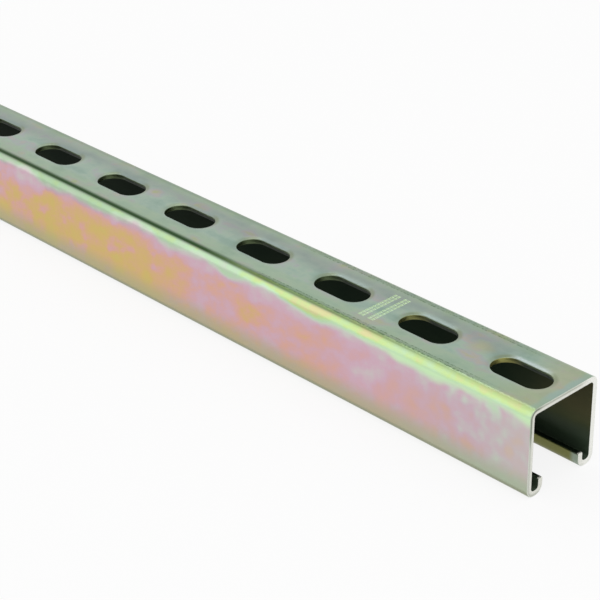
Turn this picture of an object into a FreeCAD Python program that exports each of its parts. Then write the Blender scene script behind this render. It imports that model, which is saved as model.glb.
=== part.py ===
"""Slotted strut channel: a steel strip with a row of punched slots, roll-formed into a C
with a web, two flanges and two lips that turn in and back up.

The frame is the part's own: +X along the length, +Y across, +Z up. The channel lies as it
would be set down, on its lips, with the slotted web on top. The origin is on the floor, in
the middle of the length and width. The +X end is the one with the shorter land before the
first slot. All sizes are millimetres.
"""
import FreeCAD, Part
import math
import os

import Sketcher

OUT = "parts"

# Name, value and meaning of every size that can be set by itself.
SIZES = [
    ("length", 609.6, "overall length of the cut piece, 2 ft"),
    ("width", 41.275, "outside width across the flanges, 1 5/8 in"),
    ("height", 41.275, "outside height from the lips to the web, 1 5/8 in"),
    ("wall", 2.667, "strip thickness, 12 gauge"),
    ("web_bend", 1.6, "inside radius of the bends between the web and the flanges"),
    ("lip_width", 9.525, "outside width of each turned-in lip, 3/8 in"),
    ("lip_height", 7.144, "height of the lip's edge above the floor, 9/32 in"),
    ("foot_flat", 1.0, "flat left between the two bends under each lip"),
    ("strip_edge_round", 0.6, "rounding of the strip's two rolled edges"),
    ("slot_length", 28.575, "end to end length of a slot, 1 1/8 in"),
    ("slot_width", 14.288, "width of a slot, 9/16 in"),
    ("slot_pitch", 50.8, "distance from slot to slot, 2 in"),
    ("first_slot", 22.225, "from the +X end to the first slot's centre, 7/8 in"),
    ("last_land", 6.0, "least metal left between the last slot and the -X end"),
    ("punch_roll", 0.45, "rounding that the punch leaves on the slots' outer rims"),
]


def make_sheet(doc):
    """The spreadsheet with one named cell for each driving size."""
    sheet = doc.addObject("Spreadsheet::Sheet", "Sizes")
    for row, (alias, value, meaning) in enumerate(SIZES, start=1):
        sheet.set(f"A{row}", alias)
        sheet.set(f"B{row}", str(value))
        sheet.set(f"C{row}", meaning)
        sheet.setAlias(f"B{row}", alias)
    doc.recompute()
    return sheet


def origin_feature(body, role):
    """The body's own origin plane or axis with this role."""
    return next(f for f in body.Origin.OriginFeatures if f.Role == role)


def new_sketch(body, name, role):
    """An empty sketch on one of the body's origin planes."""
    sketch = body.newObject("Sketcher::SketchObject", name)
    sketch.AttachmentSupport = [(origin_feature(body, role), "")]
    sketch.MapMode = "FlatFace"
    return sketch


def vector(x, y):
    return FreeCAD.Vector(x, y, 0)


def add_line(sketch, start, end):
    return sketch.addGeometry(Part.LineSegment(vector(*start), vector(*end)))


def add_arc(sketch, centre, radius, first_deg, last_deg):
    circle = Part.Circle(vector(*centre), FreeCAD.Vector(0, 0, 1), radius)
    arc = Part.ArcOfCircle(circle, math.radians(first_deg), math.radians(last_deg))
    return sketch.addGeometry(arc)


def dimension(sketch, name, formula, *constraint):
    """Adds a dimension, names it and ties it to the spreadsheet."""
    index = sketch.addConstraint(Sketcher.Constraint(*constraint))
    sketch.renameConstraint(index, name)
    sketch.setExpression(f"Constraints.{name}", formula)


START, END, CENTRE = 1, 2, 3
ORIGIN, X_AXIS, Y_AXIS = -1, -1, -2


def draw_half_section(sketch, size):
    """One half of the C section, closed on the middle plane: the outer skin from the web down
    round the flange to the lip, over the strip's edge, and back up the inside. The two bends
    of a lip are as large as its width and its flat leave room for."""
    edge = size.width / 2
    lip = edge - size.lip_width
    web_outside = size.web_bend + size.wall
    web_y, web_z = edge - web_outside, size.height - web_outside
    lip_inside = (size.lip_width - 2 * size.wall - size.foot_flat) / 2
    lip_outside = lip_inside + size.wall
    foot_y, turn_y = edge - lip_outside, lip + lip_outside
    under = size.height - size.wall

    web_top = add_line(sketch, (0, size.height), (web_y, size.height))
    web_bend = add_arc(sketch, (web_y, web_z), web_outside, 0, 90)
    flange = add_line(sketch, (edge, web_z), (edge, lip_outside))
    foot_bend = add_arc(sketch, (foot_y, lip_outside), lip_outside, 270, 360)
    foot = add_line(sketch, (foot_y, 0), (turn_y, 0))
    lip_turn = add_arc(sketch, (turn_y, lip_outside), lip_outside, 180, 270)
    mouth = add_line(sketch, (lip, lip_outside), (lip, size.lip_height))
    strip_edge = add_line(sketch, (lip, size.lip_height), (lip + size.wall, size.lip_height))
    pocket_side = add_line(sketch, (lip + size.wall, size.lip_height), (lip + size.wall, lip_outside))
    pocket_turn = add_arc(sketch, (turn_y, lip_outside), lip_inside, 180, 270)
    pocket_floor = add_line(sketch, (turn_y, size.wall), (foot_y, size.wall))
    foot_inside = add_arc(sketch, (foot_y, lip_outside), lip_inside, 270, 360)
    flange_inside = add_line(sketch, (edge - size.wall, lip_outside), (edge - size.wall, web_z))
    web_inside = add_arc(sketch, (web_y, web_z), size.web_bend, 0, 90)
    web_under = add_line(sketch, (web_y, under), (0, under))
    middle = add_line(sketch, (0, under), (0, size.height))

    smooth = [
        (web_top, END, web_bend, END),
        (web_bend, START, flange, START),
        (flange, END, foot_bend, END),
        (foot_bend, START, foot, START),
        (foot, END, lip_turn, END),
        (lip_turn, START, mouth, START),
        (pocket_side, END, pocket_turn, START),
        (pocket_turn, END, pocket_floor, START),
        (pocket_floor, END, foot_inside, START),
        (foot_inside, END, flange_inside, START),
        (flange_inside, END, web_inside, START),
        (web_inside, END, web_under, START),
    ]
    corners = [
        (mouth, END, strip_edge, START),
        (strip_edge, END, pocket_side, START),
        (web_under, END, middle, START),
        (middle, END, web_top, START),
    ]
    rules = [Sketcher.Constraint("Tangent", *joint) for joint in smooth]
    rules += [Sketcher.Constraint("Coincident", *joint) for joint in corners]
    level = (web_top, foot, strip_edge, pocket_floor, web_under)
    upright = (flange, mouth, pocket_side, flange_inside, middle)
    rules += [Sketcher.Constraint("Horizontal", line) for line in level]
    rules += [Sketcher.Constraint("Vertical", line) for line in upright]
    bends = ((web_bend, web_inside), (foot_bend, foot_inside), (lip_turn, pocket_turn))
    for outer, inner in bends:
        rules.append(Sketcher.Constraint("Coincident", outer, CENTRE, inner, CENTRE))
    rules.append(Sketcher.Constraint("Equal", foot_inside, pocket_turn))
    rules.append(Sketcher.Constraint("PointOnObject", foot, START, X_AXIS))
    rules.append(Sketcher.Constraint("PointOnObject", middle, START, Y_AXIS))
    sketch.addConstraint(rules)

    dimension(sketch, "bend", "Sizes.web_bend", "Radius", web_inside, size.web_bend)
    dimension(sketch, "strip", "Sizes.wall", "DistanceY", middle, START, middle, END, size.wall)
    dimension(sketch, "half_width", "Sizes.width / 2", "DistanceX", ORIGIN, START, flange, START, edge)
    dimension(sketch, "tall", "Sizes.height", "DistanceY", ORIGIN, START, web_top, START, size.height)
    dimension(sketch, "lip", "Sizes.lip_width", "DistanceX", mouth, START, flange, END, size.lip_width)
    dimension(sketch, "lip_top", "Sizes.lip_height", "DistanceY", ORIGIN, START, mouth, END, size.lip_height)
    dimension(sketch, "flat", "Sizes.foot_flat", "DistanceX", foot, END, foot, START, size.foot_flat)


def form_section(doc, body, size):
    """The strip bent to a C: half of the section run along the length, and its mirror image."""
    section = new_sketch(body, "HalfSection", "YZ_Plane")
    draw_half_section(section, size)
    half = body.newObject("PartDesign::Pad", "HalfChannel")
    half.Profile = section
    half.Midplane = True
    half.setExpression("Length", "Sizes.length")
    doc.recompute()
    both = body.newObject("PartDesign::Mirrored", "BothHalves")
    both.Originals = [half]
    both.MirrorPlane = (origin_feature(body, "XZ_Plane"), [""])
    body.Tip = both
    doc.recompute()
    return both


def edges_where(feature, wanted):
    """The names of a feature's edges whose box passes a test."""
    edges = enumerate(feature.Shape.Edges, start=1)
    return [f"Edge{number}" for number, edge in edges if wanted(edge.BoundBox)]


def add_round(doc, body, name, base, edges, alias):
    """A fillet whose radius is a named size, kept under half the strip's thickness."""
    rounded = body.newObject("PartDesign::Fillet", name)
    rounded.Base = (base, edges)
    rounded.setExpression("Radius", f"min(Sizes.{alias}; Sizes.wall * 0.45)")
    doc.recompute()
    return rounded


def round_strip_edges(doc, body, formed, size):
    """Rounds the two long corners of each lip's edge, which are the strip's rolled edges."""

    def on_lip_edge(box):
        return box.XLength > size.length / 2 and abs(box.ZMin - size.lip_height) < 0.01

    edges = edges_where(formed, on_lip_edge)
    return add_round(doc, body, "RolledEdges", formed, edges, "strip_edge_round")


def draw_slot(sketch, size):
    """The first slot, seen from above: two straight sides joined by half circles."""
    radius = size.slot_width / 2
    half = (size.slot_length - size.slot_width) / 2
    middle = size.length / 2 - size.first_slot
    far_side = add_line(sketch, (middle + half, radius), (middle - half, radius))
    left_end = add_arc(sketch, (middle - half, 0), radius, 90, 270)
    near_side = add_line(sketch, (middle - half, -radius), (middle + half, -radius))
    right_end = add_arc(sketch, (middle + half, 0), radius, -90, 90)
    joints = [
        (far_side, END, left_end, START),
        (left_end, END, near_side, START),
        (near_side, END, right_end, START),
        (right_end, END, far_side, START),
    ]
    rules = [Sketcher.Constraint("Tangent", *joint) for joint in joints]
    rules.append(Sketcher.Constraint("Horizontal", far_side))
    rules.append(Sketcher.Constraint("PointOnObject", left_end, CENTRE, X_AXIS))
    sketch.addConstraint(rules)
    dimension(sketch, "end_radius", "Sizes.slot_width / 2", "Radius", right_end, radius)
    dimension(
        sketch, "straight", "Sizes.slot_length - Sizes.slot_width",
        "DistanceX", left_end, CENTRE, right_end, CENTRE, 2 * half,
    )
    dimension(
        sketch, "right_centre", "Sizes.length / 2 - Sizes.first_slot"
        " + (Sizes.slot_length - Sizes.slot_width) / 2",
        "DistanceX", ORIGIN, START, right_end, CENTRE, middle + half,
    )


def punch_slots(doc, body, size):
    """One slot cut down through the web, then repeated at the pitch for as many as fit with
    the least land kept at the far end."""
    outline = new_sketch(body, "SlotOutline", "XY_Plane")
    outline.setExpression(".AttachmentOffset.Base.z", "Sizes.height")
    draw_slot(outline, size)
    doc.recompute()
    slot = body.newObject("PartDesign::Pocket", "Slot")
    slot.Profile = outline
    slot.Type = "Length"
    slot.setExpression("Length", "Sizes.wall * 2")
    doc.recompute()
    row = body.newObject("PartDesign::LinearPattern", "SlotRow")
    row.Originals = [slot]
    row.Direction = (origin_feature(body, "X_Axis"), [""])
    row.Reversed = True
    row.Mode = "Spacing"
    row.setExpression("Offset", "Sizes.slot_pitch")
    room = "(Sizes.length - Sizes.first_slot - Sizes.slot_length / 2 - Sizes.last_land)"
    row.setExpression("Occurrences", f"floor({room} / Sizes.slot_pitch) + 1")
    body.Tip = row
    doc.recompute()
    return row


def round_slot_rims(doc, body, row, size):
    """Rounds the outer rim of every slot, where the punch draws the metal down."""

    def on_slot_rim(box):
        flat = box.ZLength < 0.01 and abs(box.ZMax - size.height) < 0.01
        inside = max(-box.YMin, box.YMax) < size.slot_width / 2 + 0.01
        return flat and inside and box.XLength < size.slot_length

    edges = edges_where(row, on_slot_rim)
    return add_round(doc, body, "PunchedRims", row, edges, "punch_roll")


def check(doc, body, formed, row, size):
    """Stops if a feature failed, or if the slots didn't take out the metal they should."""
    failed = [o.Name for o in doc.Objects if {"Invalid", "Error"} & set(o.State)]
    if failed:
        raise RuntimeError(f"these objects failed: {failed}")
    if body.Shape.isNull() or not body.Shape.isValid() or len(body.Shape.Solids) != 1:
        raise RuntimeError("the channel isn't one valid solid")
    straight = (size.slot_length - size.slot_width) * size.slot_width
    slot_area = straight + math.pi * size.slot_width**2 / 4
    punched = row.Occurrences * slot_area * size.wall
    removed = formed.Shape.Volume - row.Shape.Volume
    if abs(removed - punched) > 0.001 * punched:
        raise RuntimeError(f"the slots took out {removed:.1f} mm3 and not {punched:.1f} mm3")


def main():
    doc = FreeCAD.newDocument("StrutChannel")
    size = make_sheet(doc)
    body = doc.addObject("PartDesign::Body", "Channel")
    body.Label = "channel"
    bent = form_section(doc, body, size)
    formed = round_strip_edges(doc, body, bent, size)
    row = punch_slots(doc, body, size)
    round_slot_rims(doc, body, row, size)
    doc.recompute()
    check(doc, body, formed, row, size)
    os.makedirs(OUT, exist_ok=True)
    body.Shape.exportStep(os.path.join(OUT, body.Label + ".step"))
    box = body.Shape.BoundBox
    print(f"{body.Label}: {box.XLength:.3f} x {box.YLength:.3f} x {box.ZLength:.3f} mm")
    print(f"{row.Occurrences} slots, {body.Shape.Volume * 7.85e-6:.3f} kg in steel")


main()
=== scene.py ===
# %% [markdown]
# # A slotted strut channel
#
# Strut is the framing that carries pipes, ducts and cable trays. A steel strip is punched with
# a row of slots and then rolled, bend by bend, into a square C with two lips that turn in. This
# length is plated with zinc and dipped in yellow chromate, whose thin film splits the light
# into pinks, golds and greens.
#
# The measured model comes in first and is left as it is. Everything here is in metres, with +X
# along the channel, +Z up through the slotted web, and the floor at zero.

# %% The measured frame
import math

import bmesh
import bpy
from mathutils import Matrix, Vector


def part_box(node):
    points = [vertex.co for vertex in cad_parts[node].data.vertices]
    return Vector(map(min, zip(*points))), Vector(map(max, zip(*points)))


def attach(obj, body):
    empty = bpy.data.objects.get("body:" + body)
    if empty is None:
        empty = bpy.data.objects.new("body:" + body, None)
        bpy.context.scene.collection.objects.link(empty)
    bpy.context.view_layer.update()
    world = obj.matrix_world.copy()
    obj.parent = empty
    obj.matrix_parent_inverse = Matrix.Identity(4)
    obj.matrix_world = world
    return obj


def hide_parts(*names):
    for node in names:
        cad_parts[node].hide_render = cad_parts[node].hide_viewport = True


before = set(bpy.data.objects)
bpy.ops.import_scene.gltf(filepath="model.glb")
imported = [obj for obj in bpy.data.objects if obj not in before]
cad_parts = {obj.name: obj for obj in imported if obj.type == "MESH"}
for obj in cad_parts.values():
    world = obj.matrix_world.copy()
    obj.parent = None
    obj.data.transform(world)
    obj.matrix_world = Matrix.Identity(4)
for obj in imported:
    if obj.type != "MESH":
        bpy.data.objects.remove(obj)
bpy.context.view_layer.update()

low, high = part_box("channel")
LENGTH, WIDTH, HEIGHT = (high[axis] - low[axis] for axis in range(3))
print(f"channel {LENGTH * 1000:.1f} x {WIDTH * 1000:.2f} x {HEIGHT * 1000:.2f} mm")

# %% [markdown]
# ## Sizes
#
# The overall sizes come from the measured model. The rest are the strip's thickness, its bends
# and its slots, which the model was drawn with too. Two small distances come last: how near two
# points have to be to count as one, and how far a face may lie off its level.

# %% Sizes of the strip, its bends and its slots
MM = 0.001
WALL = 2.667 * MM
WEB_BEND = 1.6 * MM + WALL
LIP_WIDTH = 9.525 * MM
LIP_HEIGHT = 7.144 * MM
FOOT_FLAT = 1.0 * MM
LIP_BEND = (LIP_WIDTH - FOOT_FLAT) / 2
SLOT_LENGTH = 28.575 * MM
SLOT_WIDTH = 14.288 * MM
PITCH = 50.8 * MM
FIRST_SLOT = 22.225 * MM
FLAT_WEB = WIDTH - 2 * WEB_BEND
TOUCHING = 0.001 * MM
LEVEL = 0.01 * MM
print(f"the web is flat for {FLAT_WEB / MM:.1f} mm between its bends")

# %% [markdown]
# ## One pitch of punched strip
#
# The strip could be a plain sheet with the slots cut out by a boolean, but that leaves ragged
# faces that shade badly at the rims. Here the rim comes first. A ring of edges is a circle cut
# in two and drawn apart, and rings of growing size are bridged into a shallow dish, because the
# punch drags the metal down with it. The outermost ring is bridged to the border of a grid with
# as many edges as the ring.

# %% A dished slot in one pitch of strip
RIM_EDGES = 48
# Pairs of a distance outside the slot and a drop below the web, in millimetres.
DISH = [(4.2, 0.0), (3.2, 0.03), (2.2, 0.12), (1.3, 0.27), (0.5, 0.45), (0.0, 0.57)]


def slot_ring(bm, outside, drop):
    """A closed ring of edges, this far outside the slot and this far below the web."""
    radius = SLOT_WIDTH / 2 + outside
    verts = bmesh.ops.create_circle(bm, segments=RIM_EDGES, radius=radius)["verts"]
    half_step = Matrix.Rotation(math.pi / RIM_EDGES, 4, "Z")
    bmesh.ops.rotate(bm, cent=(0, 0, 0), matrix=half_step, verts=verts)
    stretch = (SLOT_LENGTH - SLOT_WIDTH) / 2
    for side in (1, -1):
        half = [v for v in verts if v.co.x * side > 0]
        bmesh.ops.translate(bm, vec=(side * stretch, 0, -drop), verts=half)
    return list({edge for v in verts for edge in v.link_edges})


strip = bmesh.new()
rings = [slot_ring(strip, outside * MM, drop * MM) for outside, drop in DISH]
for outer, inner in zip(rings, rings[1:]):
    bmesh.ops.bridge_loops(strip, edges=outer + inner)

# The border has 2 * (14 + 10) edges, as many as a ring.
grid = bmesh.ops.create_grid(strip, x_segments=14, y_segments=10, size=0.5)["verts"]
bmesh.ops.scale(strip, vec=(PITCH, FLAT_WEB, 1), verts=grid)
panel = {face for v in grid for face in v.link_faces}
border = [edge for face in panel for edge in face.edges if len(edge.link_faces) == 1]
bmesh.ops.bridge_loops(strip, edges=border + rings[0])
bmesh.ops.delete(strip, geom=list(panel), context="FACES")
bmesh.ops.recalc_face_normals(strip, faces=strip.faces)
print(f"one pitch of strip has {len(strip.faces)} faces round its slot")

# %% [markdown]
# ## The row of slots, cut to length
#
# Stock is punched without a break and sheared wherever the order says, so the row runs past
# both ends and two planes cut it. That leaves a short land before the first slot and a longer
# one after the last.

# %% Thirteen pitches, cut to length


def of_kind(geom, kind):
    """The vertices, the edges or the faces among some elements."""
    return [item for item in geom if isinstance(item, kind)]


first_x = LENGTH / 2 - FIRST_SLOT
pitch_of_strip = strip.verts[:] + strip.edges[:] + strip.faces[:]
for number in range(1, int(LENGTH / PITCH) + 1):
    copy = bmesh.ops.duplicate(strip, geom=pitch_of_strip)["geom"]
    moved = of_kind(copy, bmesh.types.BMVert)
    bmesh.ops.translate(strip, vec=(-PITCH * number, 0, 0), verts=moved)
bmesh.ops.translate(strip, vec=(first_x, 0, HEIGHT), verts=strip.verts)
bmesh.ops.remove_doubles(strip, verts=strip.verts, dist=TOUCHING)
for end in (1, -1):
    everything = strip.verts[:] + strip.edges[:] + strip.faces[:]
    bmesh.ops.bisect_plane(
        strip, geom=everything, dist=TOUCHING, clear_outer=True,
        plane_co=(end * LENGTH / 2, 0, 0), plane_no=(end, 0, 0),
    )
print(f"the flat strip has {len(strip.faces)} faces")

# %% [markdown]
# ## A place for the dimples
#
# The web has a patch of small square dimples between the second and the third slot, in two
# double rows, as the face of a checkering punch leaves them. Dissolving the faces under the
# patch into one and cutting that one with planes gives a regular grid to press.

# %% A grid on the land between the second and the third slot
PATCH_X = first_x - 1.5 * PITCH
PATCH_LENGTH, PATCH_WIDTH = 13.3 * MM, 28.0 * MM
COLUMNS, ROWS = 7, 13


def in_patch(point, margin=0.0):
    """Whether a point lies in the patch, this many cells or more from its border."""
    along, across = abs(point.x - PATCH_X) / PATCH_LENGTH, abs(point.y) / PATCH_WIDTH
    return along < 0.5 - margin / COLUMNS and across < 0.5 - margin / ROWS


def patch_faces():
    return [face for face in strip.faces if in_patch(face.calc_center_median())]


def faces_beside(reach):
    """The faces whose middles lie this near to the middle of the patch along the strip."""
    return [f for f in strip.faces if abs(f.calc_center_median().x - PATCH_X) < reach]


def cut_across(faces, place, direction):
    """Cuts some faces by a plane."""
    around = {item for face in faces for item in (*face.verts, *face.edges)}
    geom = list(around) + list(faces)
    bmesh.ops.bisect_plane(strip, geom=geom, dist=TOUCHING, plane_co=place, plane_no=direction)


for end in (1, -1):
    cut_across(faces_beside(PITCH / 3), (PATCH_X + end * PATCH_LENGTH / 2, 0, 0), (1, 0, 0))
for end in (1, -1):
    cut_across(faces_beside(PATCH_LENGTH / 2), (0, end * PATCH_WIDTH / 2, 0), (0, 1, 0))
bmesh.ops.dissolve_faces(strip, faces=patch_faces())
for column in range(1, COLUMNS):
    place = PATCH_X + PATCH_LENGTH * (column / COLUMNS - 0.5)
    cut_across(patch_faces(), (place, 0, 0), (1, 0, 0))
for row in range(1, ROWS):
    place = PATCH_WIDTH * (row / ROWS - 0.5)
    cut_across(patch_faces(), (0, place, 0), (0, 1, 0))
print(f"the grid has {len(patch_faces())} faces")

# %% [markdown]
# ## Rolling the section
#
# The real strip passes between rollers that fold one bend after another. The same order works
# here: the strip's long edges are spun round a bend's axis, drawn straight to the next bend, and
# spun again, down the flange, under the foot and up the lip.

# %% Bends and straights of both sides
BEND_STEPS = 12


def straight(edges, run):
    """Draws the open edges out by a vector and returns the new open edges."""
    geom = bmesh.ops.extrude_edge_only(strip, edges=edges)["geom"]
    moved = of_kind(geom, bmesh.types.BMVert)
    bmesh.ops.translate(strip, vec=run, verts=moved)
    reached = set(moved)
    return [edge for edge in of_kind(geom, bmesh.types.BMEdge) if set(edge.verts) <= reached]


def bend(edges, centre, turn):
    """Spins the open edges round an axis along X and returns the new open edges."""
    corners = list({v for edge in edges for v in edge.verts})
    spun = bmesh.ops.spin(
        strip, geom=edges + corners, cent=centre, axis=(1, 0, 0), angle=turn,
        steps=BEND_STEPS, dvec=(0, 0, 0),
    )
    return of_kind(spun["geom_last"], bmesh.types.BMEdge)


for side in (-1, 1):
    web_y = side * FLAT_WEB / 2
    foot_y = side * (WIDTH / 2 - LIP_BEND)
    quarter = -side * math.pi / 2
    edge = [
        e for e in strip.edges if len(e.link_faces) == 1
        and all(abs(v.co.y - web_y) < LEVEL and v.co.z > HEIGHT - LEVEL for v in e.verts)
    ]
    edge = bend(edge, (0, web_y, HEIGHT - WEB_BEND), quarter)
    edge = straight(edge, (0, 0, WEB_BEND + LIP_BEND - HEIGHT))
    edge = bend(edge, (0, foot_y, LIP_BEND), quarter)
    edge = straight(edge, (0, -side * FOOT_FLAT, 0))
    edge = bend(edge, (0, foot_y - side * FOOT_FLAT, LIP_BEND), quarter)
    edge = straight(edge, (0, 0, LIP_HEIGHT - LIP_BEND))
bmesh.ops.remove_doubles(strip, verts=strip.verts, dist=TOUCHING / 10)
bmesh.ops.recalc_face_normals(strip, faces=strip.faces)
on_web = [face for face in strip.faces if face.calc_center_median().z > HEIGHT - MM]
if max(on_web, key=lambda face: face.calc_area()).normal.z < 0:
    bmesh.ops.reverse_faces(strip, faces=strip.faces)
print(f"the rolled skin has {len(strip.faces)} faces")

# %% [markdown]
# ## Thickness
#
# So far there is only the outer skin. Solidify gives it the strip's thickness inwards, and with
# it the inner skin and the walls of every slot, lip and end. Each of those three kinds of
# surface gets its own material number here, because plating takes differently on them.

# %% The wall, inwards from the outer skin
OUTSIDE, INSIDE, SHEARED = range(3)
# A little more than the drop of the rim.
DISH_DEPTH = 0.6 * MM
bmesh.ops.solidify(strip, geom=strip.faces[:], thickness=WALL)


def is_inner(point):
    """Whether a point lies on the inner skin of the section."""
    y, z = abs(point.y), point.z
    lip = WIDTH / 2 - LIP_WIDTH
    if z > LIP_HEIGHT:
        return y < WIDTH / 2 - WALL / 2 and z < HEIGHT - WALL / 2 - DISH_DEPTH
    return lip + WALL / 2 < y < WIDTH / 2 - WALL / 2 and z > WALL / 2


for face in strip.faces:
    middle = face.calc_center_median()
    by_slot = abs(middle.y) < SLOT_WIDTH / 2 + MM and HEIGHT - middle.z < WALL + MM
    slot_wall = by_slot and abs(face.normal.z) < 0.3
    end_wall = abs(face.normal.x) > 0.9
    lip_edge = face.normal.z > 0.9 and abs(middle.z - LIP_HEIGHT) < LEVEL
    if slot_wall or end_wall or lip_edge:
        face.material_index = SHEARED
    else:
        face.material_index = INSIDE if is_inner(middle) else OUTSIDE
counts = [sum(face.material_index == kind for face in strip.faces) for kind in range(3)]
print(f"faces outside {counts[OUTSIDE]}, inside {counts[INSIDE]}, sheared {counts[SHEARED]}")

# %% [markdown]
# ## The dimples
#
# A punch with small square teeth presses them, and the middle column stays plain. Each face of
# the grid is first inset flat, which leaves a bar between neighbours, and then inset again with
# a depth, which draws it down on sloping sides. Pressed now, they leave the inner skin flat.

# %% Dimples pressed into the upper skin
BAR, SLOPE, DIMPLE_DEPTH = 0.14 * MM, 0.42 * MM, 0.35 * MM
pressed = []
for face in strip.faces:
    middle = face.calc_center_median()
    on_top = face.normal.z > 0.9 and abs(middle.z - HEIGHT) < LEVEL
    beside = abs(middle.x - PATCH_X) > PATCH_LENGTH / COLUMNS / 2
    if on_top and beside and in_patch(middle, margin=1):
        pressed.append(face)
bmesh.ops.inset_individual(strip, faces=pressed, thickness=BAR)
bmesh.ops.inset_individual(strip, faces=pressed, thickness=SLOPE, depth=-DIMPLE_DEPTH)
print(f"{len(pressed)} dimples")

# %% [markdown]
# ## Rims and corners
#
# No corner of a real strip is knife sharp. The punch rolls the slots' outer rims over, the mill
# rolls the strip's own edges round, and the shear leaves a slight break on the ends. A bevel on
# each set of edges does it, with a width of its own: the slots' upper rims, their lower rims, the
# lips' edges, the ends' outer edges and the ends' other edges. Where bevels of two widths meet
# they leave a few slivers, which are merged and dissolved at the end.

# %% Rolled rims, strip edges and sheared ends
CORNER = math.radians(50)
UPPER_RIM, LOWER_RIM, LIP_EDGE = 0.42 * MM, 0.12 * MM, 0.6 * MM
END_OUTER_EDGE, END_OTHER_EDGE = 0.6 * MM, 0.15 * MM


def sharp_edges(wanted):
    """Edges with a real corner whose middle passes a test."""
    chosen = []
    for edge in strip.edges:
        middle = (edge.verts[0].co + edge.verts[1].co) / 2
        if edge.calc_face_angle(0) > CORNER and wanted(middle):
            chosen.append(edge)
    return chosen


def break_edges(wanted, width, segments):
    """Rounds the sharp edges that pass a test."""
    edges = sharp_edges(wanted)
    bmesh.ops.bevel(
        strip, geom=edges, affect="EDGES", offset=width, offset_type="OFFSET",
        segments=segments, profile=0.5, clamp_overlap=True, material=-1,
    )
    print(f"rounded {len(edges)} edges by {width / MM:.2f} mm")


def at_end(point):
    return abs(point.x) > LENGTH / 2 - TOUCHING


def on_slot(point, depth):
    """Whether a point lies on the web, within this depth, away from the ends and the dimples."""
    return point.z > HEIGHT - depth and not at_end(point) and not in_patch(point)


def on_lip(point):
    return abs(point.z - LIP_HEIGHT) < TOUCHING and not at_end(point)


break_edges(lambda point: on_slot(point, DISH_DEPTH), UPPER_RIM, segments=4)
break_edges(lambda point: on_slot(point, WALL + MM), LOWER_RIM, segments=2)
break_edges(on_lip, LIP_EDGE, segments=4)
break_edges(lambda point: at_end(point) and not is_inner(point), END_OUTER_EDGE, segments=4)
break_edges(at_end, END_OTHER_EDGE, segments=2)
bmesh.ops.remove_doubles(strip, verts=strip.verts, dist=2 * TOUCHING)
bmesh.ops.dissolve_degenerate(strip, dist=2 * TOUCHING, edges=strip.edges)

# %% [markdown]
# ## One object
#
# The mesh becomes one object at the origin, because the channel is one strip. It shades smooth,
# apart from creases that are sharper than a bend's steps. The last calls say which body it rides
# on and hide the measured part.

# %% The finished channel
CREASE = math.radians(28)
mesh = bpy.data.meshes.new("strut_channel")
strip.to_mesh(mesh)
strip.free()
for polygon in mesh.polygons:
    polygon.use_smooth = True
mesh.set_sharp_from_angle(angle=CREASE)
channel = bpy.data.objects.new("strut_channel", mesh)
bpy.context.scene.collection.objects.link(channel)
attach(channel, "root")
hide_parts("channel")
print(f"the channel has {sum(len(p.vertices) - 2 for p in mesh.polygons)} triangles")

# %% [markdown]
# ## Writing shaders as sums
#
# A pattern such as `film - stain * 0.3` is easier to read as a sum than as a tangle of nodes.
# `Wire` wraps a node's output, and each operator on it adds one Math node. `Graph` adds every
# other kind of node, and its short methods name what the recipes below use most.

# %% A wire that can be added, scaled and blended


class Wire:
    """A value from a node, which can be used in sums."""

    def __init__(self, graph, socket):
        self.graph, self.socket = graph, socket

    def math(self, operation, *values, clamp=False):
        sockets = {index: value for index, value in enumerate(values)}
        return self.graph.node("Math", {"operation": operation, "use_clamp": clamp}, sockets)

    def __add__(self, other):
        return self.math("ADD", self, other)

    def __sub__(self, other):
        return self.math("SUBTRACT", self, other)

    def __rsub__(self, other):
        return self.math("SUBTRACT", other, self)

    def __mul__(self, other):
        return self.math("MULTIPLY", self, other)

    def __truediv__(self, other):
        return self.math("DIVIDE", self, other)

    __radd__, __rmul__ = __add__, __mul__

    def size(self):
        return self.math("ABSOLUTE", self)

    def root(self):
        return self.math("SQRT", self)

    def clamped(self):
        return self.math("ADD", self, 0.0, clamp=True)


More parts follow.
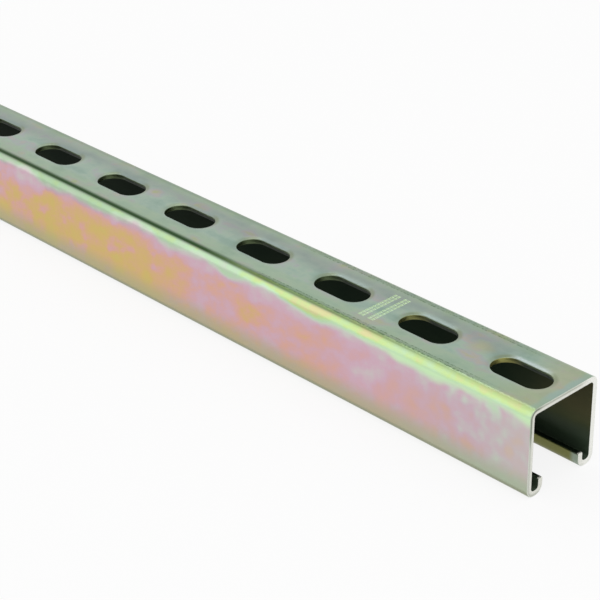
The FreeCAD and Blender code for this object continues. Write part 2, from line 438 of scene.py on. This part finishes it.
class Graph:
    """The nodes of one material or world."""

    def __init__(self, owner):
        owner.use_nodes = True
        self.tree = owner.node_tree
        self.tree.nodes.clear()

    def node(self, kind, settings, sockets, output=0):
        """Adds a node: its settings first, then the values or wires of its sockets."""
        node = self.tree.nodes.new("ShaderNode" + kind)
        for name, value in settings.items():
            if name == "stops":
                self.set_stops(node.color_ramp, value)
            else:
                setattr(node, name, value)
        for name, value in sockets.items():
            if isinstance(value, Wire):
                self.tree.links.new(value.socket, node.inputs[name])
            else:
                node.inputs[name].default_value = value
        return Wire(self, node.outputs[output] if len(node.outputs) else None)

    @staticmethod
    def set_stops(ramp, stops):
        while len(ramp.elements) < len(stops):
            ramp.elements.new(1.0)
        for element, (place, colour) in zip(ramp.elements, stops):
            element.position = place
            element.color = colour

    def fade(self, value, start, end):
        """Runs smoothly from 0 where value is start to 1 where it is end."""
        ends = {"Value": value, "From Min": start, "From Max": end}
        if start > end:
            ends.update({"From Min": end, "From Max": start, "To Min": 1.0, "To Max": 0.0})
        return self.node("MapRange", {"interpolation_type": "SMOOTHSTEP"}, ends)

    def over(self, first, second):
        """The larger of two values."""
        return self.node("Math", {"operation": "MAXIMUM"}, {0: first, 1: second})

    def mix(self, factor, first, second):
        """Blends two colours."""
        sockets = {0: factor, 6: first, 7: second}
        return self.node("Mix", {"data_type": "RGBA"}, sockets, output=2)

    def ramp(self, value, stops):
        """The colour that a ramp holds at a value, which is kept between 0 and 1."""
        return self.node("ValToRGB", {"stops": stops}, {0: value.clamped()})

    def noise(self, x, y, z, detail=2.0, rough=0.5):
        """Soft noise, centred on zero and mostly between -1 and 1."""
        vector = self.node("CombineXYZ", {}, {0: x, 1: y, 2: z})
        sockets = {"Vector": vector, "Scale": 1.0, "Detail": detail, "Roughness": rough}
        return (self.node("TexNoise", {}, sockets) - 0.5) * 4.0


def paint(red, green, blue):
    """A colour as a screen shows it, turned into the light that a shader counts in."""
    shares = [value / 255 for value in (red, green, blue)]
    return (*(s / 12.92 if s <= 0.04045 else ((s + 0.055) / 1.055) ** 2.4 for s in shares), 1.0)


print("shader helpers ready")

# %% [markdown]
# ## Places on the surface
#
# Each pattern has to know where it is: how far from the near end, below the web, or aside from
# the middle. The object's own coordinates tell, so the plating stays on the steel when the
# camera moves.

# %% A surface that knows its places


class Surface(Graph):
    """A new material's graph, with places on the channel in millimetres."""

    def __init__(self, name):
        self.material = bpy.data.materials.new(name)
        super().__init__(self.material)
        place = self.node("TexCoord", {}, {}, output="Object")
        outputs = self.node("SeparateXYZ", {}, {0: place}).socket.node.outputs
        self.x, self.y, self.z = (Wire(self, outputs[axis]) * 1000.0 for axis in "XYZ")
        self.aside = self.y.size()
        self.below = HEIGHT / MM - self.z
        self.from_end = LENGTH / MM / 2 - self.x

    def from_slot(self):
        """How far a place lies along its own slot, from the slot's middle."""
        half = PITCH / MM / 2
        sockets = {0: self.x - first_x / MM, 1: half, 2: -half}
        return self.node("Math", {"operation": "WRAP"}, sockets)

    def finish(self, colour, roughness, metallic, bump, depth):
        """Ends the graph in a metal with fine bumps and returns the material."""
        sockets = {"Strength": 1.0, "Distance": depth, "Height": bump}
        normal = self.node("Bump", {}, sockets)
        shader = self.node("BsdfPrincipled", {}, {
            "Base Color": colour, "Roughness": roughness, "Metallic": metallic, "Normal": normal,
        })
        self.node("OutputMaterial", {}, {"Surface": shader})
        return self.material


print("surfaces are measured in millimetres")

# %% [markdown]
# ## Yellow chromate
#
# The film is a fraction of a light wave thick, so its colour tells its thickness. From thin to
# thick it runs through olive, gold, salmon, pink, mauve, mint and yellow-green. It could be
# painted patch by patch. Here one ramp holds the order, and a single number, the film's
# thickness, picks the colour. The web dries level and has a quiet grey-green ramp of its own.

# %% The colours of the film
FILM = [
    (0.00, paint(190, 188, 116)),
    (0.10, paint(208, 190, 110)),
    (0.20, paint(214, 185, 112)),
    (0.30, paint(217, 178, 132)),
    (0.40, paint(219, 171, 156)),
    (0.50, paint(213, 172, 180)),
    (0.58, paint(211, 177, 192)),
    (0.66, paint(208, 194, 196)),
    (0.74, paint(206, 213, 200)),
    (0.84, paint(194, 225, 188)),
    (0.93, paint(202, 227, 154)),
    (1.00, paint(222, 214, 160)),
]
WEB_FILM = [
    (0.00, paint(132, 156, 142)),
    (0.28, paint(143, 165, 151)),
    (0.50, paint(151, 170, 153)),
    (0.68, paint(154, 162, 159)),
    (0.84, paint(164, 160, 153)),
    (1.00, paint(160, 164, 126)),
]
print(f"{len(FILM)} colours of film on the flanges, {len(WEB_FILM)} on the web")

# %% [markdown]
# ## Patches and streaks
#
# The dip dries in drifts, in smaller clouds, and in streaks that slant as it ran off. Each is a
# soft noise. Dividing a coordinate by a size in millimetres stretches the patches to that size
# along it.

# %% Noise for the outside
g = Surface("chromate_outside")
x, y, z, aside, below, from_end = g.x, g.y, g.z, g.aside, g.below, g.from_end
SLANT = math.radians(24)
down_streak = x * math.cos(SLANT) + z * math.sin(SLANT)
off_streak = z * math.cos(SLANT) - x * math.sin(SLANT)
drifts = g.noise(x / 34.0, y / 50.0, z / 25.0)
clouds = g.noise(x / 13.0, y / 40.0, z / 11.0)
streaks = g.noise(down_streak / 17.0, y / 40.0, off_streak / 7.0, detail=3.0)
runs = g.noise(x / 5.0, y / 40.0, z / 45.0) * g.fade(from_end, 200.0, 290.0)
blots = g.noise(x / 7.0 + 9.0, y / 20.0, z / 7.5, detail=1.0)
blots = blots * (g.fade(from_end, 90.0, 40.0) * 0.08 + g.fade(from_end, 45.0, 20.0) * 0.06)
quiet = g.noise(x / 22.0, y / 12.0, z / 40.0, detail=3.0, rough=0.55)
mottle = g.noise(x / 5.0, y / 8.0, z / 4.0, detail=3.0, rough=0.6)
grit = g.noise(x / 0.9, y / 0.6, z / 0.6)
print(f"eight noises, {len(g.tree.nodes)} nodes so far")

# %% [markdown]
# ## How thick the film is
#
# A middling thickness comes first, and each change along the flange or down it is added: a
# golden stretch about the middle of the length, a thicker top, and the patches. Past mauve, and
# short of pink near the end, a step counts for less, so that odd colours stay rare there.

# %% Thickness on the flanges
PINK, MAUVE = 0.50, 0.56
golden = g.fade(from_end, 175.0, 235.0)
film = 0.54 + g.fade(from_end, 45.0, 8.0) * 0.05 - g.fade(from_end, 110.0, 165.0) * 0.10
film = film - g.fade(from_end, 190.0, 250.0) * 0.18 + g.fade(from_end, 330.0, 430.0) * 0.16
film = film + g.fade(below, 14.0, 5.0) * 0.11 + g.fade(below, 15.0, 6.0) * golden * 0.14
patches = streaks * 0.12 + clouds * 0.13 + drifts * 0.08 + runs * 0.07 + mottle * 0.05
film = film + patches * (1.0 - golden * 0.3)
film = film + g.fade(clouds + streaks, 0.0, 0.8) * golden * 0.08
film = film - g.over(film - MAUVE, 0.0) * 0.45
film = film + g.over(PINK - film, 0.0) * g.fade(from_end, 170.0, 80.0) * 0.55
film = film + blots
print(f"the flanges' thickness, {len(g.tree.nodes)} nodes so far")

# %% [markdown]
# ## A band along the bend
#
# A band of mint and yellow-green lies round the bend, partly film colour and partly a painted
# highlight on the bend.
# Its lower border wanders with the drifts and hangs lower near the end. Blending two
# thicknesses gives every colour between them on the way, as on the real film.

# %% Thickness in the band, and the flanges' colour
THINNEST = 0.08
wavy = below + clouds * 1.8 + drifts * 3.0 - g.fade(from_end, 100.0, 35.0) * 2.2
wavy = wavy + golden * 1.1 + g.fade(from_end, 18.0, 6.0) * 0.9
band = g.fade(wavy, 6.9, 1.9)
# The band's thickness picks its bright mint and yellow-green, partly film colour and partly a
# painted highlight.
band_film_and_highlight = 0.84 + g.fade(from_end, 185.0, 130.0) * 0.11 - g.fade(from_end, 95.0, 60.0) * 0.06
band_film_and_highlight = band_film_and_highlight + clouds * 0.08 + mottle * 0.05 + g.fade(from_end, 52.0, 30.0) * 0.01
band_film_and_highlight = band_film_and_highlight - g.fade(from_end, 110.0, 80.0) * g.fade(below, 2.0, 4.5) * 0.10
film = film + band * (band_film_and_highlight - film)
flange = g.ramp(g.over(film, THINNEST), FILM)
print(f"the band's thickness, {len(g.tree.nodes)} nodes so far")

# %% [markdown]
# ## Tints on the flanges
#
# Thickness alone doesn't give every colour. Each line here lays a thin tint over the colour:
# greyer and paler at the near end, and olive at the foot, with a painted shade along its bottom
# edge, a painted shade in the band, most in its far part, and a painted highlight in its near
# part.

# %% Tints from end to end and at the foot
# A grey tint near the end of the flanges.
grey_tint_and_painted_shade = g.fade(from_end, 95.0, 15.0) * g.fade(below, 6.0, 11.0)
flange = g.mix(grey_tint_and_painted_shade * 0.28, flange, paint(182, 188, 184))
paled = g.fade(from_end, 32.0, 6.0) * g.fade(below, 4.0, 9.0)
flange = g.mix(paled * 0.42, flange, paint(200, 200, 190))
near_foot = g.fade(from_end + clouds * 8.0, 90.0, 12.0)
foot = g.mix(near_foot, paint(178, 177, 138), paint(170, 187, 157))
flange = g.mix(g.fade(below + clouds, 26.0, 37.0) * 0.8, flange, foot)
# Painted shade: darker along the bottom edge, where the foot turns under.
flange = g.mix(g.fade(below, 36.8, 38.6) * 0.8, flange, paint(140, 146, 116))
# Painted shade: a darker green in the band, most in its far part.
band_painted_shade = g.fade(from_end, 150.0, 290.0) * 0.3 + 0.14
flange = g.mix(band * band_painted_shade, flange, paint(118, 146, 110))
# Painted highlight: a near white mint in the band's near part.
band_painted_highlight = g.fade(below, 2.4, 4.2) * g.fade(from_end, 125.0, 85.0)
flange = g.mix(band * band_painted_highlight * 0.7, flange, paint(213, 250, 194))
print(f"four tints on the flanges and two in the band, {len(g.tree.nodes)} nodes so far")

# %% [markdown]
# ## The web
#
# The web dries lying level, so its film is even: a slow noise picks from the quiet ramp. Tints
# follow as on the flanges, and one round stain sits between the first two slots. A narrow fade
# along the bend then joins the web's colour to the flanges'.

# %% The web's colour, and where it meets the flanges
STAIN_FROM_END, STAIN_Y = 48.0, 3.0
web = g.ramp(0.44 + quiet * 0.7 + mottle * 0.16, WEB_FILM)
olive_end = g.fade(from_end + quiet * 4.0, 26.0, 8.0)
web = g.mix(olive_end * 0.5, web, paint(164, 162, 122))
cool_edge = g.fade(from_end + quiet * 1.2, 4.5, 2.0)
web = g.mix(cool_edge * 0.6, web, paint(140, 170, 166))
# Painted shade: the back half of the web is darker grey, away from the end.
grey_tint_and_painted_shade = g.fade(y + drifts * 5.0, -1.0, 10.0) * g.fade(y + quiet * 3.0, 20.0, 10.0)
web = g.mix(grey_tint_and_painted_shade * g.fade(from_end, 25.0, 45.0) * 0.5, web, paint(128, 132, 130))
web = g.mix(g.fade(y, -7.0, -10.0) * 0.3, web, paint(146, 168, 128))
borders = g.fade(aside, 10.5, 16.0) * (g.fade(y, -8.0, 8.0) * 0.3 + mottle * 0.35 + 0.15)
web = g.mix(borders.clamped(), web, paint(138, 160, 124))
stain_x, stain_y = from_end - STAIN_FROM_END, y - STAIN_Y
from_stain = (stain_x * stain_x + stain_y * stain_y).root()
web = g.mix(g.fade(from_stain + quiet * 3.0, 8.0, 1.0) * 0.5, web, paint(170, 162, 120))
front = g.fade(y, 10.0, -10.0)
inset = g.fade(from_end, 140.0, 60.0) * front * 0.9
colour = g.mix(g.fade(aside + inset, 18.0, 19.5), web, flange)
print(f"the web joined to the flanges, {len(g.tree.nodes)} nodes so far")

# %% [markdown]
# ## Painted dark lines and scuffs along the bend
#
# Where a bend begins, a broad dark line is painted in for the dark reflection there, strongest in
# the far part and on the front, and a narrower painted shade lies along the fold. Near the end it
# thins out to fine broken scuffs, with a faint painted shade between them. Each is a stripe at a
# distance from the middle, made of two fades or of one over the distance from its own middle.

# %% The line and the scuffs along the bend


def stripe(middle, reach, core):
    """A stripe along the channel, full within its core and gone at its reach."""
    return g.fade((aside - middle).size(), reach, core)


# Painted reflection: a dark green line where the bend begins, stronger on the front and in the
# far part.
line = g.fade(aside, 14.9, 17.4) * g.fade(aside, 19.1, 17.8) * (front * 0.75 + 0.25)
dark_reflection_strength = g.fade(from_end + clouds * 12.0, 120.0, 200.0) * 0.82
dark_reflection_strength = dark_reflection_strength + g.fade(from_end, 25.0, 90.0) * 0.2
colour = g.mix(line * dark_reflection_strength, colour, paint(32, 66, 22))
# Painted shade: a narrower olive line along the fold, on the front only.
fold = g.fade(aside, 16.2, 17.3) * g.fade(aside, 18.9, 18.0) * front
fold = fold * g.fade(from_end, 200.0, 150.0) * (g.fade(from_end, 20.0, 110.0) * 0.35 + 0.2)
colour = g.mix(fold, colour, paint(104, 128, 40))
# Fine scratches, with a faint continuous painted shade along their middle.
scuffs_and_shade = g.over(stripe(15.4, 0.5, 0.1), stripe(17.0, 0.6, 0.15)) * g.fade(grit, -0.3, 0.3)
scuffs_and_shade = g.over(scuffs_and_shade, stripe(16.2, 1.0, 0.4) * 0.25)
scuffs_and_shade = scuffs_and_shade * g.fade(from_end, 175.0, 145.0) * g.fade(from_end, 12.0, 45.0)
colour = g.mix(scuffs_and_shade * 0.85, colour, paint(66, 94, 60))
print(f"a line, its fold and the scuffs, {len(g.tree.nodes)} nodes so far")

# %% [markdown]
# ## Rims, dimples and lips
#
# A painted highlight lies in the dish round each slot, along its middle and most on the far side,
# brightest near the end, while the slots' ends stay a duller olive. How far a place lies from its
# slot's middle repeats at the pitch, so wrapping one coordinate serves all the slots. The dimples
# are pale, and the lips are olive, partly as painted shade, and paler at the very end.

# %% Punched and pressed places, and the outside's metal
from_slot = g.from_slot()
# Painted highlight: the dish round each slot, weighted to the far side, takes the rim colours
# below.
dished = g.fade(below, 0.04, 0.3) * g.fade(aside, 13.5, 12.5)
painted_rim_highlight = g.mix(g.fade(from_end, 60.0, 42.0), paint(134, 148, 144), paint(160, 170, 170))
beside_slot = g.fade(from_slot, -13.0, -8.0) * g.fade(from_slot, 12.0, 5.0)
rim_highlight_colour = g.mix(beside_slot, paint(122, 132, 104), painted_rim_highlight)
colour = g.mix(dished * (g.fade(y, -4.0, 6.0) * 0.6 + 0.15), colour, rim_highlight_colour)

dimpled = g.fade((x - PATCH_X / MM).size(), 5.2, 4.9) * g.fade(aside, 12.0, 11.7)
dimpled = dimpled * g.fade(below, 0.03, 0.16)
colour = g.mix(dimpled * 0.7, colour, paint(200, 224, 184))

# The lips' olive is partly painted shade, as they lie low inside the section; it is paler in the
# last few millimetres.
lips = g.fade(aside, 16.0, 13.5) * g.fade(below, 32.0, 34.0)
shade = g.mix(g.fade(from_end, 2.0, 5.0), paint(150, 164, 146), paint(122, 124, 74))
colour = g.mix(lips, colour, shade)

roughness = 0.31 + mottle * 0.02 + grit * 0.012
channel.data.materials.append(
    g.finish(colour, roughness, metallic=0.85, bump=grit * 0.5 + mottle, depth=0.015 * MM)
)
print(f"material {channel.data.materials[OUTSIDE].name}, {len(g.tree.nodes)} nodes")

# %% [markdown]
# ## The inside
#
# Little light gets in, and the colour is painted dark for that shade: dark olive and green, a
# painted lighter olive high up near the open end where light comes in, and a painted dark green
# further in. Low down, towards the lips and near the end, it is lighter and less metallic.

# %% Painted shade on the inside
g = Surface("chromate_inside")
stain = g.noise(g.x / 30.0, g.y / 10.0, g.z / 12.0, detail=3.0)
colour = g.mix((0.5 + stain * 0.4).clamped(), paint(80, 86, 54), paint(44, 64, 50))
# Painted light: a lighter olive high up near the open end.
painted_light_at_mouth = g.fade(g.from_end, 34.0, 8.0) * g.fade(g.z, 14.0, 26.0)
colour = g.mix(painted_light_at_mouth * 0.5, colour, paint(108, 98, 62))
# Painted shade: dark green further in from the end.
deep_painted_shade = g.fade(g.from_end, 14.0, 55.0)
colour = g.mix(deep_painted_shade * 0.85, colour, paint(10, 38, 20))
# Lighter and less metallic low down near the end.
low_near_end = g.fade(g.z, 18.0, 9.0) * g.fade(g.from_end, 100.0, 50.0)
colour = g.mix(low_near_end, colour, paint(62, 78, 60))
roughness = 0.5 + stain * 0.03
metallic = 0.8 + deep_painted_shade * 0.15 - low_near_end * 0.6
channel.data.materials.append(
    g.finish(colour, roughness, metallic, bump=stain, depth=0.02 * MM)
)
print(f"material {channel.data.materials[INSIDE].name}, {len(g.tree.nodes)} nodes")

# %% [markdown]
# ## Sheared ends
#
# A blade cuts the first part of a strip cleanly and tears the rest, which leaves a dark line
# between two paler ones along the cut; the outer pale line is partly a painted highlight on the
# rolled edge. Lines could be drawn round the section, but a ramp over the depth below the outer
# skin follows its every turn. That depth is the corners' radius less the distance past the
# corners' centres. The tear shows less low down, and away from the front flange the cut is paler
# as painted light, nearly white at the back flange.

# %% Torn metal by its depth
# The first stop is partly a painted highlight on the rolled outer edge.
TORN = [
    (0.10, paint(186, 196, 180)),
    (0.24, paint(122, 132, 112)),
    (0.36, paint(116, 126, 106)),
    (0.54, paint(216, 218, 206)),
    (0.80, paint(244, 243, 236)),
    (1.00, paint(228, 226, 216)),
]
g = Surface("chromate_on_sheared_edges")
x, y, z, aside, below = g.x, g.y, g.z, g.aside, g.below
grain = g.noise(x / 1.2, y / 1.2, z / 0.4, detail=3.0)
radius = WEB_BEND / MM
past_y = g.over(aside - (WIDTH / MM / 2 - radius), 0.0)
past_z = g.over(g.over(radius - below, radius - z), 0.0)
depth = radius - (past_y * past_y + past_z * past_z).root() + grain * 0.12
torn = g.ramp(depth / (WALL / MM), TORN)
# Painted light: the cut is paler away from the front flange, and nearly white at the back flange.
painted_light_towards_back = g.fade(y, -16.5, -12.0) * 0.45 + g.fade(y, 4.0, 18.0) * 0.4
pale_and_painted_light = g.over(g.fade(below, 9.0, 20.0) * 0.6, painted_light_towards_back)
torn = g.mix(pale_and_painted_light, torn, paint(242, 243, 234))
torn = g.mix(g.fade(y, 9.0, 17.5) * 0.85, torn, paint(255, 255, 250))
print(f"torn ends, {len(g.tree.nodes)} nodes so far")

# %% [markdown]
# ## Punched walls
#
# The walls of the slots are darker than the ends. The wall at each slot's far end faces the near
# end and is painted as lit olive, lighter near the end; elsewhere the walls are painted shade,
# pale just below the rim and dark further down. They share the ends' material, and the distance
# from the middle of the channel tells one from the other.

# %% Slot walls, and the sheared metal as a whole
# Painted light: the lit olive of the wall at each slot's far end.
painted_lit_end_wall = g.mix(g.fade(g.from_end, 60.0, 130.0), paint(170, 168, 98), paint(106, 122, 86))
# Painted shade: dark down the walls, pale just below the rim.
shadow = g.mix(g.fade(below, 2.2, 0.7), paint(28, 44, 28), paint(122, 138, 104))
punched = g.mix(g.fade(g.from_slot(), -13.5, -4.0), painted_lit_end_wall, shadow)
half_length = LENGTH / MM / 2
at_cut = g.fade(x.size(), half_length - 1.2, half_length - 0.6)
colour = g.mix(at_cut, punched, torn)
dirt = (0.5 + grain * 0.4).clamped() * (at_cut * 0.15 + 0.05)
colour = g.mix(dirt, colour, paint(150, 156, 138))
roughness = 0.42 + grain * 0.04
metallic = 0.95 - at_cut * 0.25
channel.data.materials.append(
    g.finish(colour, roughness, metallic, bump=grain, depth=0.03 * MM)
)
print(f"material {channel.data.materials[SHEARED].name}, {len(g.tree.nodes)} nodes")

# %% [markdown]
# ## White floor and world
#
# A catalogue picture stands on plain white. A floor lit hard enough to look white would flood
# the steel with light, so floor and world show the camera and reflections a white of their own
# instead, and the lamps stay at a plain level. The floor is still partly matt, which keeps the
# shadow.

# %% Floor and world
WHITE, PALE = (1.0, 1.0, 1.0, 1.0), (0.95, 0.95, 0.95, 1.0)
floor_mesh = bmesh.new()
bmesh.ops.create_grid(floor_mesh, x_segments=1, y_segments=1, size=6.0)
floor_data = bpy.data.meshes.new("floor")
floor_mesh.to_mesh(floor_data)
floor_mesh.free()
floor = bpy.data.objects.new("floor", floor_data)
bpy.context.scene.collection.objects.link(floor)


def seen(graph, directly, mirrored):
    """One share for the camera's own rays, another for reflections in metal and glass."""
    rays = graph.node("LightPath", {}, {}).socket.node.outputs
    kinds = ("Is Camera Ray", "Is Glossy Ray", "Is Transmission Ray")
    camera, glossy, through = (Wire(graph, rays[kind]) for kind in kinds)
    return camera * directly + (glossy + through) * mirrored


floor_paint = bpy.data.materials.new("white_floor")
g = Graph(floor_paint)
matt = g.node("BsdfDiffuse", {}, {"Color": PALE})
glow = g.node("Emission", {}, {"Color": WHITE, "Strength": 1.0})
share = seen(g, directly=0.86, mirrored=0.66)
both = g.node("MixShader", {}, {0: share, 1: matt, 2: glow})
g.node("OutputMaterial", {}, {"Surface": both})
floor_data.materials.append(floor_paint)

world = bpy.data.worlds.new("studio")
bpy.context.scene.world = world
g = Graph(world)
light = 0.7 + seen(g, directly=0.3, mirrored=0.3)
sky = g.node("Background", {}, {"Color": WHITE, "Strength": light})
g.node("OutputWorld", {}, {"Surface": sky})
print("white floor and world")

# %% [markdown]
# ## Soft lamps
#
# Large lamps make soft edges on polished metal. The one at the front left lights the near
# flange, the one overhead lights the web, and a small high one beyond the channel adds glints to
# the slots' rims.

# %% Three soft lamps


def softbox(name, place, target, size, watts):
    """A square area lamp that looks at a point."""
    lamp = bpy.data.lights.new(name, "AREA")
    lamp.shape, lamp.size, lamp.energy = "SQUARE", size, watts
    box = bpy.data.objects.new(name, lamp)
    box.location = place
    box.rotation_euler = (Vector(target) - Vector(place)).to_track_quat("-Z", "Y").to_euler()
    bpy.context.scene.collection.objects.link(box)


softbox("front_left", (-0.9, -1.2, 0.7), (0.1, 0, 0), size=1.4, watts=2.0)
softbox("beyond_left", (-0.60, 0.48, 1.24), (0.25, 0, 0), size=0.4, watts=0.95)
softbox("overhead", (0.7, -0.3, 1.8), (0.1, 0, 0), size=1.2, watts=6.0)
print("three soft lamps")

# %% [markdown]
# ## The camera
#
# A long lens from above and to the right keeps the two flanges' edges nearly parallel. Its place
# was worked out from slots whose places on the strip are known. Building it from a shift and
# three turns keeps each angle apart, where it can be read and changed.

# %% Camera
PLACE = (0.6885, -0.5004, 0.4229)
AZIMUTH, ELEVATION, ROLL = (math.radians(angle) for angle in (46.886, 28.536, 1.070))
camera_data = bpy.data.cameras.new("camera")
camera_data.sensor_width, camera_data.lens = 36.0, 111.74
camera = bpy.data.objects.new("camera", camera_data)
camera.matrix_world = (
    Matrix.Translation(PLACE)
    @ Matrix.Rotation(AZIMUTH, 4, "Z")
    @ Matrix.Rotation(math.pi / 2 - ELEVATION, 4, "X")
    @ Matrix.Rotation(-ROLL, 4, "Z")
)
bpy.context.scene.collection.objects.link(camera)
bpy.context.scene.camera = camera
bpy.context.scene.view_settings.view_transform = "Standard"
print("camera at the photograph's place")

# %% The end
print("the scene is set")
